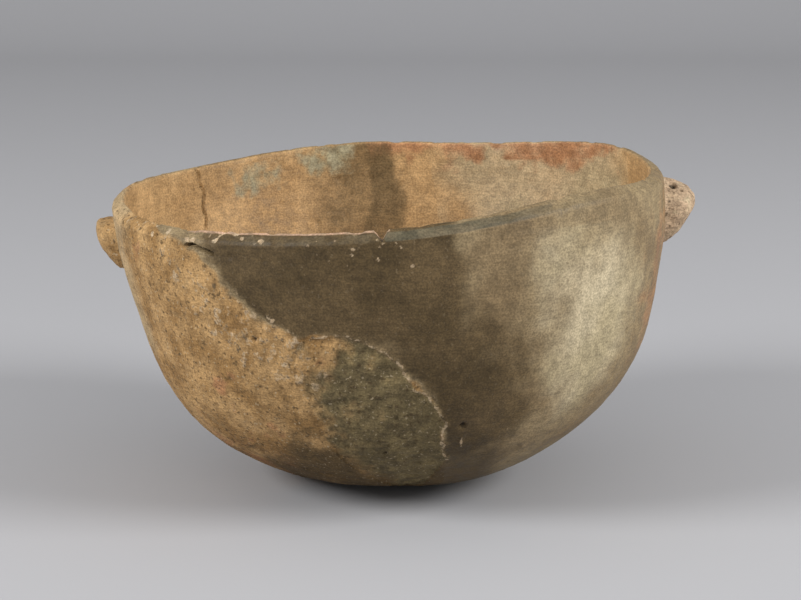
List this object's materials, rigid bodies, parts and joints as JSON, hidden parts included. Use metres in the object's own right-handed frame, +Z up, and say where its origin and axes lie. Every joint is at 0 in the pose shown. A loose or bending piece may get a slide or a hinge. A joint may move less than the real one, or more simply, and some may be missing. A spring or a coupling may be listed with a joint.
{
  "type": "pottery bowl",
  "caption": "Hand-built round-based clay bowl with an uneven flattened lip and small lugs just below the rim, for holding, carrying or cooking food.",
  "frame": {"origin": "middle of the worn spot under the base that the bowl rests on", "axes": "+Z up, +X towards the right lug, +Y away from the pictured side; the vessel leans 3.7 degrees towards -X"},
  "size_m": [0.1787, 0.1606, 0.0952],
  "materials": {
    "burnished_clay": "matt, worn burnish with dark firing clouds",
    "lip_clay": "matt, worn, chipped",
    "lug_clay": "matt, unburnished"
  },
  "bodies": {
    "root": {"base_cap": "burnished_clay", "wall_coil_1": "burnished_clay", "wall_coil_2": "burnished_clay", "wall_coil_3": "burnished_clay", "wall_coil_4": "burnished_clay", "wall_coil_5": "burnished_clay", "rim_coil": "lip_clay", "left_lug": "lug_clay", "right_lug": "lug_clay"}
  },
  "joints": []
}
